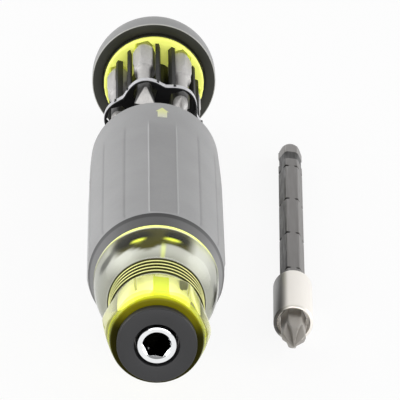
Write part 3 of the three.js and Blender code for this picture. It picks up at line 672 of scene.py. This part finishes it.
class SCREWDRIVER_OT_grip(bpy.types.Operator):
    """Make the soft grip with its long panels and grooves and finish the inlaid arrow"""

    bl_idname = "screwdriver.grip"
    bl_label = "Grip"

    def execute(self, context):
        sizes, colours = settings(context)
        start, end = mm(41.4), mm(128.1)
        shoulder = start + mm(4.8)
        taper = end - mm(28)
        barrel = shoulder + mm(3.2)
        rear, inside = mm(18.9), mm(17.3)
        radius = sizes.grip_radius
        lip = sizes.grip_flats / 2
        edge = lip + mm(0.06)
        outline = []
        for share in (0, 0.2, 0.4, 0.6, 0.7, 0.78, 0.9, 1):
            reach = sizes.dome_radius + (lip - mm(0.12) - sizes.dome_radius) * share
            outline.append((reach, start + mm(4.4) * share))
        outline += [(lip - mm(0.03), shoulder - mm(0.2)), (lip, shoulder), (edge, shoulder + mm(0.2))]
        for step in range(1, 6):
            t = step / 5
            reach = edge + (radius - edge) * math.sin(math.pi / 2 * t)
            outline.append((reach, shoulder + mm(0.2 + 3 * t)))
        for step in range(1, 13):
            outline.append((radius, barrel + (taper - barrel) * step / 12))
        for step in range(1, 21):
            t = step / 20
            outline.append((radius + (rear - radius) * t ** 1.5, taper + (end - mm(0.7) - taper) * t))
        outline += [(rear - mm(0.08), end - mm(0.4)), (rear - mm(0.3), end - mm(0.12)), (rear - mm(0.7), end)]
        rings = [(self.section(sizes, reach, place), place) for reach, place in outline]
        rings += [(inside, end), (inside, start)]
        marks = [side + offset for side in GRIP_SIDES for offset in EDGE_STEPS]
        marks += [groove + offset for groove in GRIP_GROOVES for offset in GROOVE_STEPS]
        mesh = loft("grip_soft", rings, refined(120, marks, (0,)), closed=True, sharp=40, shade=self.shade)
        finish = moulded_plastic(
            "soft_grey", colours.grip, 0.55, scale=2200, amount=0.04, specular=0.4, paint="shade")
        add_piece("grip_soft", mesh, finish, "handle", ["grip"], on_axis())
        dress("pull_arrow", self.arrow_finish(colours))
        return {"FINISHED"}

    def arrow_finish(self, colours):
        """Pale plastic that grows more lime towards the arrow's point."""
        material = moulded_plastic("pale_lime", colours.arrow, 0.55)
        nodes, links = material.node_tree.nodes, material.node_tree.links
        base = nodes["Principled BSDF"].inputs["Base Color"]
        low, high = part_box("pull_arrow")
        place = node(nodes, "TexCoord")
        parts = node(nodes, "SeparateXYZ")
        links.new(place.outputs["Object"], parts.inputs[0])
        along = node(nodes, "MapRange", {"From Min": low.y, "From Max": high.y})
        links.new(parts.outputs["Y"], along.inputs["Value"])
        mix = node(nodes, "Mix", {MIX_SECOND: (0.74, 0.77, 0.24, 1)}, data_type="RGBA")
        links.new(along.outputs["Result"], mix.inputs[MIX_SHARE])
        links.new(base.links[0].from_socket, mix.inputs[MIX_FIRST])
        links.new(mix.outputs[MIX_RESULT], base)
        return material

    def panelled(self, place):
        """How far panels and grooves are let in at a place along the grip, from 0 to 1."""
        return (1 - ease(place, mm(108), mm(114))) * ease(place, mm(46.3), mm(47.6))

    def section(self, sizes, radius, place):
        """The grip's outline at one place along it."""
        share = self.panelled(place)
        groove = sizes.groove_depth * share

        def reach(angle):
            value = radius
            for side in GRIP_SIDES:
                off = apart(angle, side)
                if off < 20:
                    let_in = sizes.panel_depth * share if side in PANEL_SIDES else 0
                    floor = (sizes.grip_flats / 2 - let_in) / math.cos(math.radians(off))
                    wall = ease(off, PANEL_HALF - 1.2, PANEL_HALF)
                    value = min(value, floor + max(radius - floor, 0) * wall)
            for mark in GRIP_GROOVES:
                value -= groove * math.exp(-(apart(angle, mark) / 1.2) ** 2)
            return value
        return reach

    def shade(self, angle, place):
        """Painted shade in the let-in panels, in the grooves and on the shoulder, darker on its top and at
        its rim and lighter on the right, and painted highlights on the panels' walls, stronger on the left.
        """
        if place < mm(46.1):
            top = ease(math.sin(angle), 0.1, 0.9)
            value = 0.55 + 0.24 * max(math.cos(angle), 0) - 0.26 * top
            return value * (1 - 0.5 * ease(place, mm(44.4), mm(44.9)))
        wall = PANEL_HALF - 0.6
        inside = max(1 - ease(apart(angle, side), PANEL_HALF - 1.5, PANEL_HALF - 1) for side in PANEL_SIDES)
        left = line_at(angle, [side + wall for side in PANEL_SIDES], 0.55, 4)
        right = line_at(angle, [side - wall for side in PANEL_SIDES], 0.45, 4)
        lines = line_at(angle, GRIP_GROOVES, 1.1)
        return 1 + self.panelled(place) * (0.5 * left + 0.2 * right - 0.13 * inside - 0.2 * lines)


class SCREWDRIVER_OT_nose(bpy.types.Operator):
    """Make the black nose plug, the plated hexagonal socket and the spring of its catch"""

    bl_idname = "screwdriver.nose"
    bl_label = "Nose"

    def execute(self, context):
        sizes, colours = settings(context)
        face, spigot, hole, bore = mm(11), mm(10.4), mm(6.25), mm(5.6)
        step, floor, back = mm(2.6), mm(6.6), mm(7.4)
        outline = rounded([
            (hole, floor), (hole, 0), (face, 0), (face, step), (spigot, step),
            (spigot, back), (bore, back), (bore, floor),
        ], sizes.edge)
        bush = loft("nose_bush_plug", outline, even(128), closed=True)
        black = moulded_plastic("black_plastic", colours.black, 0.45, scale=2000, amount=0.12)
        add_piece("nose_bush_plug", bush, black, "handle", ["nose_bush"], on_axis())

        socket = prism(sizes.hex_flats + mm(0.3))
        wall, flange, end = mm(5.4), mm(7.2), mm(50)
        flange_front, flange_rear = mm(7.7), mm(9.7)
        lead_in, steps = mm(0.75), 8
        rings = []
        for count in range(steps + 1):
            depth = lead_in * count / steps
            rings.append((wider(socket, mm(4.05) - depth), depth))
        rings += [(socket, mm(3)), (socket, end), (wall, end), (wall, flange_rear), (flange, flange_rear)]
        rings += [(flange, flange_front), (wall, flange_front)]
        rings += [(wall, mm(0.35)), (mm(5.3), mm(0.1)), (mm(5.05), 0)]
        tube = loft("socket_tube_plated", rings, even(144), closed=True, shade=self.tube_shade)
        chrome = worked_metal("chrome", colours.chrome, 0.07, scale=400, amount=0.02, paint=True)
        add_piece("socket_tube_plated", tube, chrome, "handle", ["socket_tube"], on_axis())
        dress("detent_ball", worked_metal("ball_steel", colours.steel, 0.15))
        steel = worked_metal("spring_steel", colours.dark_steel, 0.3)
        strip = self.spring()
        add_piece("detent_spring_strip", strip, steel, "handle", ["detent_spring"], on_axis())
        return {"FINISHED"}

    def tube_shade(self, angle, place):
        """Painted shade inside the hexagonal hole."""
        return 0.12 if mm(2.5) < place < mm(4) or place > mm(49) else 1

    def spring(self):
        """An open ring of strip, dimpled over the ball so that the ball has room to be pressed in."""
        build = bmesh.new()
        inner, outer, half, depth = 5.889, 6.189, 1.1, 5.2
        room, pressed = 1.33, 4.839
        middle, spacing, reach_round = 240, 2, 72
        rows = []
        for step in range(-reach_round, reach_round + 1):
            angle = math.radians(middle + spacing * step)
            away = math.radians(spacing * step)
            inside, outside = [], []
            for part in range(-6, 7):
                across = half * part / 6
                beside = pressed * math.sin(away)
                rest = room ** 2 - across ** 2 - beside ** 2
                dimple = pressed * math.cos(away) + math.sqrt(max(rest, 0))
                reach = max(inner, dimple) if rest > 0 else inner
                inside.append(build.verts.new(ring_point(mm(reach), angle, mm(depth + across))))
                outside.append(build.verts.new(ring_point(mm(outer), angle, mm(depth + across))))
            rows.append(inside + outside[::-1])
        for low, high in zip(rows, rows[1:]):
            for index in range(len(low)):
                after = (index + 1) % len(low)
                build.faces.new((low[index], low[after], high[after], high[index]))
        build.faces.new(rows[0])
        build.faces.new(rows[-1])
        return finished_mesh("detent_spring_strip", build)


class SCREWDRIVER_OT_cap(bpy.types.Operator):
    """Make the end cap with its black face and grey crown, and the collar of its lime liner"""

    bl_idname = "screwdriver.cap"
    bl_label = "Cap"

    def execute(self, context):
        sizes, colours = settings(context)
        start, end, side = mm(190.7), mm(210.7), mm(194.9)
        mouth, ledge, inside = mm(15.75), mm(200.7), mm(207.3)
        lip_low, lip_high, top = mm(190.745), mm(190.9), mm(209)
        radius = sizes.cap_radius
        outline = [(mouth, ledge), (mouth, start + mm(0.3)), (radius, start), (radius, side)]
        crown = list(reversed(sweep(0, end, radius, side, 24)))
        rings = rounded(outline, sizes.edge)[:-1] + crown + [(0, inside), (mm(11.34), inside)]

        def hue(number, angle, place):
            if place > top:
                return (*colours.crown, 1)
            # Painted highlight: a pale line along the rounded front edge.
            if lip_low < place < lip_high:
                return (0.5, 0.5, 0.47, 1)
            return (*(colours.crown if lip_high < place and number > len(outline) else colours.cap), 1)

        mesh = loft("cap_shell_turned", rings, even(144), closed=True, hue=hue)
        shell = moulded_plastic("cap_plastic", (1, 1, 1), 0.42, depth=0.000005, amount=0.06, paint="hue")
        add_piece("cap_shell_turned", mesh, shell, "carrier", ["cap_shell"], on_axis())
        low, high, front, back = mm(15.48), mm(15.7), mm(189.5), mm(191.6)
        collar = rounded([(low, back), (low, front), (high, front), (high, back)], mm(0.08))
        ring = loft("liner_collar", collar, even(144), closed=True)
        black = moulded_plastic("black_cap", colours.cap, 0.3, depth=0.00001, amount=0.1)
        add_piece("liner_collar", ring, black, "carrier", (), on_axis())
        lime = moulded_plastic("lime", colours.lime, 0.4, depth=0.00002, scale=1500, amount=0.03)
        # The lime glows a little: painted light on its front face.
        glow = lime.node_tree.nodes["Principled BSDF"].inputs
        glow["Emission Color"].default_value = (*colours.lime, 1)
        glow["Emission Strength"].default_value = 0.25
        dress("cap_liner", lime)
        return {"FINISHED"}


class SCREWDRIVER_OT_carrier(bpy.types.Operator):
    """Finish the lobed bit carrier, its rounded rim with a painted highlight, and the guide behind it"""

    bl_idname = "screwdriver.carrier"
    bl_label = "Bit carrier"

    def execute(self, context):
        colours = settings(context)[1]
        plate = moulded_plastic(
            "carrier_black", colours.carrier, 0.45, depth=0.00002, amount=0.12, specular=0.15)
        dress("bit_carrier", plate)
        dress("carrier_guide", moulded_plastic("guide_black", colours.black, 0.4, amount=0.12))
        front, back = mm(153.9), mm(156.6)
        outline = [(-0.45, front), (-0.2, front), (0, front + mm(0.06)), (0.1, front + mm(0.24))]
        outline += [(0.1, back - mm(0.24)), (0, back - mm(0.06)), (-0.2, back), (-0.45, back)]
        rings = [(self.lobes(mm(inset)), place) for inset, place in outline]

        # Painted highlight on the rim's side, painted shade on its faces.
        def shade(angle, place):
            return 75 if place > front + mm(0.1) else 0.6

        rim = loft("carrier_rim", rings, even(216), closed=True, shade=shade)
        edge = moulded_plastic(
            "carrier_edge_highlight", colours.carrier, 0.4, depth=0.00002, amount=0.12, specular=0.25, paint="shade")
        add_piece("carrier_rim", rim, edge, "carrier", (), on_axis())
        return {"FINISHED"}

    def lobes(self, inset):
        """The plate's waving outline, moved in or out."""
        hollow, height = mm(13.35), mm(2.15)

        def reach(angle):
            wave = (1 + math.cos(len(BIT_NAMES) * (angle - math.radians(BIT_PHASE)))) / 2
            return hollow + height * wave ** 0.7 + inset
        return reach


class SCREWDRIVER_OT_stored_bits(bpy.types.Operator):
    """Make the bits that stand in the carrier"""

    bl_idname = "screwdriver.stored_bits"
    bl_label = "Stored bits"

    def execute(self, context):
        sizes, colours = settings(context)
        steel = worked_metal(
            "steel", colours.steel, 0.5, stretch=(1, 0.4, 1), scale=1400, depth=0.00002, amount=0.1,
            paint=True, metallic=0.45)
        outline = (
            (0, 194.1), (2.4, 194.1), (2.5, 193.9), (2.5, 187.8), (2.75, 187.6), (3.05, 187.2), (3.3, 186.7),
            (3.5, 186), (3.64, 185.2), (3.7, 184.4), (3.7, 177), (3.6, 176.6), (3.45, 176.1), (3.33, 175.75),
            (3.33, 171.9), (3.2, 171.5), (2.95, 171.2), (2.775, 171.1),
        )
        neck = [(2.3, 169.95)] + [(NECK_RADIUS, place) for place in (169.6, 161.7, 161.3, NECK_FRONT + 0.01)]
        for number, (name, kind) in enumerate(zip(BIT_NAMES, BIT_KINDS)):
            angle = math.radians(BIT_PHASE - BIT_STEP * number)
            turn, roll = (11, math.pi / 4) if number == 1 else (-4, 0)
            section = prism(sizes.hex_flats, turn=math.radians(turn))
            rings = turned_down(in_mm(outline), section) + in_mm(neck)
            rings += tip_rings(kind, mm(NECK_RADIUS), mm(10), mm(NECK_FRONT), roll)
            corners = [turn + corner for corner in HEX_CORNERS] + [90, 270]
            angles = refined(72, corners, (-4, -2, 0, 2, 4))
            shade = self.blade_shade if kind == "blade" else self.neck_shade
            mesh = loft(name + "_turned", rings, angles, sharp=30, shade=shade)
            place = on_axis(mm(BIT_CIRCLE) * math.cos(angle), mm(BIT_CIRCLE) * math.sin(angle))
            add_piece(name + "_turned", mesh, steel, name, [name], place)
        return {"FINISHED"}

    def neck_shade(self, angle, place):
        """Painted shade where the neck passes through the carrier's plate."""
        return 0.12 if mm(NECK_FRONT + 0.005) < place < mm(NECK_REAR) else 1.2

    def blade_shade(self, angle, place):
        """Painted highlight on the ground flats of a blade and painted shade beside them, and painted shade
        on one side of its shank.
        """
        if place > mm(NECK_FRONT + 0.005):
            return self.neck_shade(angle, place) * (1 - 0.55 * ease(math.cos(angle), 0.42, 0.75))
        return 1.7 if abs(math.cos(angle)) < 0.12 else 0.12


class SCREWDRIVER_OT_shaft(bpy.types.Operator):
    """Make the notched shaft, its sleeve and the bit in it"""

    bl_idname = "screwdriver.shaft"
    bl_label = "Loose shaft"

    def execute(self, context):
        sizes, colours = settings(context)
        self.add_bar(sizes, colours)
        self.add_sleeve(sizes, colours)
        self.add_bit(sizes, colours)
        return {"FINISHED"}

    def add_bar(self, sizes, colours):
        """The hexagonal bar with its notched corners, waist and domed head."""
        front, rear = mm(15.5), mm(SHAFT_REAR)
        full, waist = mm(3.64), mm(3.35)
        notch = ((-0.7, 3.64), (-0.5, 3.4), (-0.35, 3.22), (0.35, 3.22), (0.5, 3.4), (0.7, 3.64))
        turned = [(mm(BAR_RADIUS), front), (full, front + mm(0.5))]
        for number in reversed(range(NOTCH_COUNT)):
            middle = rear - mm(NOTCH_FIRST + NOTCH_PITCH * number)
            for offset, reach in notch:
                turned.append((mm(reach), middle + mm(offset)))
        head = rear - mm(9.1)
        turned += [(full, head - mm(6)), (waist + mm(0.08), head - mm(5.75)), (waist, head - mm(5.55))]
        turned += [(waist, head - mm(0.1)), (waist + mm(0.08), head + mm(0.1)), (full, head + mm(0.4))]
        turned += [(full, rear - mm(3.9)), (mm(3.4), rear - mm(3.4))]
        turned += list(reversed(sweep(0, rear, mm(3.2), rear - mm(3.2), 10)))
        rings = [(0, front)] + turned_down(turned, prism(sizes.hex_flats))
        angles = refined(60, HEX_CORNERS, (-3, -1.5, 1.5, 3))
        mesh = loft("driver_shaft_bar", rings, angles, sharp=24, shade=self.bar_shade)
        steel = worked_metal(
            "dark_steel", colours.dark_steel, 0.42, stretch=(1, 0.08, 1), scale=1600, depth=0.00002,
            amount=0.1, paint=True)
        add_piece("driver_shaft_bar", mesh, steel, "shaft", ["driver_shaft"], SHAFT_PLACE)

    def bar_shade(self, angle, place):
        """Painted shade in the notches, in the waist and on one side, and painted highlights on the head and
        along the edges.
        """
        corner = min(apart(angle, direction) for direction in HEX_CORNERS)
        first = SHAFT_REAR - NOTCH_FIRST
        notch = min(abs(place - mm(first - NOTCH_PITCH * number)) for number in range(NOTCH_COUNT))
        waist, head = mm(119.5), mm(125.3)
        value = 1.25 - 0.25 * ease(corner, 1.5, 3.5)
        value *= 1 - 0.8 * (1 - ease(notch, mm(0.4), mm(0.7))) * (1 - ease(corner, 10, 18))
        if place > waist:
            return value * (0.2 if place < head else 1.35)
        return value * (1 - 0.66 * ease(-math.cos(angle), 0.45, 0.55))

    def add_sleeve(self, sizes, colours):
        """The round sleeve with its hexagonal socket, and what holds the bit in it."""
        radius, chamfer, end = sizes.sleeve_radius, mm(0.5), mm(26)
        mouth, mouth_floor = mm(4.75), mm(3.59)
        socket = prism(sizes.hex_flats + mm(0.3))
        outline = rounded([
            (mouth, mouth_floor), (mouth, 0), (radius - chamfer, 0), (radius, chamfer),
            (radius, end - chamfer), (radius - chamfer, end), (mm(4.2), end),
        ], mm(0.18))
        rings = [(socket, end), (socket, mm(4.5)), (wider(socket, mm(3.9)), mm(4.45))] + outline
        mesh = loft("socket_sleeve_plated", rings, even(144), closed=True, shade=self.sleeve_shade)
        nickel = worked_metal(
            "nickel", colours.nickel, 0.28, stretch=(1, 0.2, 1), scale=20, depth=0.000001, amount=0.01,
            paint=True, metallic=0.5)
        add_piece("socket_sleeve_plated", mesh, nickel, "shaft", ["socket_sleeve"], SHAFT_PLACE)
        dress("sleeve_magnet", worked_metal("magnet_steel", colours.dark_steel, 0.3))
        dress("retaining_ring", worked_metal("ring_steel", colours.dark_steel, 0.3))

    def sleeve_shade(self, angle, place):
        """Painted shade along one flank, and painted light inside the mouth."""
        return 1.6 if mm(3) < place < mm(5) else 1 - 0.9 * ease(-math.cos(angle), 0.3, 0.78)

    def add_bit(self, sizes, colours):
        """The cross-point bit in the sleeve."""
        shank = (
            (0, 11.9), (2.775, 11.9), (2.95, 11.78), (3.2, 11.48), (3.45, 11.1), (3.64, 10.7), (3.64, -1),
            (3.64, -2.2),
        )
        rings = turned_down(in_mm(shank), prism(sizes.hex_flats))
        flats, start = rings[-1]
        for section, place in tip_rings("cross", mm(3.5), mm(14.2), start, 0)[:-1]:
            rings.append((tighter(section, flats, sharpness=90), place))
        rings.append((0, mm(-16.4)))
        mesh = loft("driver_bit_turned", rings, refined(144, HEX_CORNERS, (-2, 2)), sharp=30)
        steel = worked_metal(
            "bit_steel", colours.tip, 0.45, stretch=(1, 0.4, 1), scale=1400, depth=0.00002, amount=0.1)
        add_piece("driver_bit_turned", mesh, steel, "driver_bit", ["driver_bit"], SHAFT_PLACE)


class SCREWDRIVER_OT_stage(bpy.types.Operator):
    """Set up the pale floor, the studio light and the camera"""

    bl_idname = "screwdriver.stage"
    bl_label = "Stage"

    def execute(self, context):
        scene = context.scene
        scene.view_settings.view_transform = "Standard"
        self.add_floor()
        self.add_world(scene)
        for lamp in LAMPS:
            self.add_lamp(*lamp)
        self.add_camera(scene)
        return {"FINISHED"}

    def add_floor(self):
        """A pale floor that is nearly white where it is looked at."""
        mesh = bpy.data.meshes.new("floor")
        half = 6
        corners = [(-half, -half, 0), (half, -half, 0), (half, half, 0), (-half, half, 0)]
        mesh.from_pydata(corners, [], [(0, 1, 2, 3)])
        floor = bpy.data.objects.new("floor", mesh)
        floor.location.z = -mm(0.05)
        bpy.context.scene.collection.objects.link(floor)
        material, nodes, links, shader = blank_material("pale_floor")
        shader.inputs["Base Color"].default_value = (0.9, 0.9, 0.9, 1)
        shader.inputs["Roughness"].default_value = 0.9
        share = node(nodes, "Math", {1: 0.9}, operation="MULTIPLY")
        links.new(self.looked_at(nodes, links, ("Camera", "Transmission", "Glossy")), share.inputs[0])
        glow = node(nodes, "Emission")
        mix = node(nodes, "MixShader")
        links.new(share.outputs[0], mix.inputs["Fac"])
        links.new(shader.outputs[0], mix.inputs[1])
        links.new(glow.outputs[0], mix.inputs[2])
        links.new(mix.outputs[0], nodes["Material Output"].inputs["Surface"])
        mesh.materials.append(material)

    def looked_at(self, nodes, links, kinds):
        """1 for rays of the given kinds, and 0 for others."""
        rays = node(nodes, "LightPath")
        seen = rays.outputs[f"Is {kinds[0]} Ray"]
        for kind in kinds[1:]:
            either = node(nodes, "Math", operation="MAXIMUM")
            links.new(seen, either.inputs[0])
            links.new(rays.outputs[f"Is {kind} Ray"], either.inputs[1])
            seen = either.outputs[0]
        return seen

    def add_world(self, scene):
        """White where it is seen, bright behind and dim in front for gloss, and a plain fill."""
        world = bpy.data.worlds.new("studio")
        scene.world = world
        world.use_nodes = True
        nodes = world.node_tree.nodes
        links = world.node_tree.links
        place = node(nodes, "TexCoord")
        parts = node(nodes, "SeparateXYZ")
        links.new(place.outputs["Generated"], parts.inputs[0])
        reach = {"From Min": -0.5, "From Max": 0.6, "To Min": 0.3, "To Max": 1.0}
        back = node(nodes, "MapRange", reach, interpolation_type="SMOOTHSTEP")
        links.new(parts.outputs["Y"], back.inputs["Value"])
        fill = 0.45
        level = node(nodes, "Mix", {2: fill})
        links.new(self.looked_at(nodes, links, ("Glossy",)), level.inputs[0])
        links.new(back.outputs["Result"], level.inputs[3])
        white = node(nodes, "Math", operation="MAXIMUM")
        links.new(level.outputs[0], white.inputs[0])
        links.new(self.looked_at(nodes, links, ("Camera", "Transmission")), white.inputs[1])
        links.new(white.outputs[0], nodes["Background"].inputs["Strength"])
        nodes["Background"].inputs["Color"].default_value = (1, 1, 1, 1)

    def add_lamp(self, name, place, size, power):
        """A round soft lamp that faces the object."""
        lamp = bpy.data.lights.new(name, "AREA")
        lamp.shape = "DISK"
        lamp.size = size
        lamp.energy = power
        holder = bpy.data.objects.new(name, lamp)
        holder.location = place
        aim = Vector(LAMP_TARGET) - Vector(place)
        holder.rotation_euler = aim.to_track_quat("-Z", "Y").to_euler()
        bpy.context.scene.collection.objects.link(holder)

    def add_camera(self, scene):
        """A long lens that looks down along the handle from its nose."""
        yaw, pitch, roll = (math.radians(angle) for angle in CAMERA_TURN)
        out = math.cos(pitch)
        forward = Vector((math.sin(yaw) * out, math.cos(yaw) * out, -math.sin(pitch)))
        level = Vector((math.cos(yaw), -math.sin(yaw), 0))
        upright = level.cross(forward)
        right = level * math.cos(roll) + upright * math.sin(roll)
        up = upright * math.cos(roll) - level * math.sin(roll)
        lens = bpy.data.cameras.new("camera")
        lens.sensor_width = 36
        lens.lens = CAMERA_LENS
        camera = bpy.data.objects.new("camera", lens)
        turn = Matrix((right, up, -forward)).transposed().to_4x4()
        camera.matrix_world = Matrix.Translation(CAMERA_PLACE) @ turn
        scene.collection.objects.link(camera)
        scene.camera = camera


OPERATORS = (
    SCREWDRIVER_OT_clear_front,
    SCREWDRIVER_OT_grip,
    SCREWDRIVER_OT_nose,
    SCREWDRIVER_OT_cap,
    SCREWDRIVER_OT_carrier,
    SCREWDRIVER_OT_stored_bits,
    SCREWDRIVER_OT_shaft,
    SCREWDRIVER_OT_stage,
)


class SCREWDRIVER_PT_pieces(bpy.types.Panel):
    """Lists the pieces, their sizes and their colours"""

    bl_idname = "SCREWDRIVER_PT_pieces"
    bl_label = "Screwdriver"
    bl_space_type = "VIEW_3D"
    bl_region_type = "UI"
    bl_category = "Screwdriver"

    def draw(self, context):
        column = self.layout.column()
        for operator in OPERATORS:
            column.operator(operator.bl_idname)
        for group in settings(context):
            for name in group.bl_rna.properties.keys():
                if name not in ("rna_type", "name"):
                    column.prop(group, name)


CLASSES = (ScrewdriverSizes, ScrewdriverColours, *OPERATORS, SCREWDRIVER_PT_pieces)


def register():
    """Add the classes and the settings to Blender."""
    for item in CLASSES:
        bpy.utils.register_class(item)
    bpy.types.Scene.screwdriver_sizes = bpy.props.PointerProperty(type=ScrewdriverSizes)
    bpy.types.Scene.screwdriver_colours = bpy.props.PointerProperty(type=ScrewdriverColours)


def unregister():
    """Take the settings and the classes out of Blender."""
    del bpy.types.Scene.screwdriver_colours
    del bpy.types.Scene.screwdriver_sizes
    for item in reversed(CLASSES):
        bpy.utils.unregister_class(item)


def main():
    """Build every piece and the stage."""
    register()
    bpy.ops.screwdriver.stage()
    bpy.ops.screwdriver.clear_front()
    bpy.ops.screwdriver.grip()
    bpy.ops.screwdriver.nose()
    bpy.ops.screwdriver.cap()
    bpy.ops.screwdriver.carrier()
    bpy.ops.screwdriver.stored_bits()
    bpy.ops.screwdriver.shaft()
    bpy.context.view_layer.update()


if __name__ == "__main__":
    main()
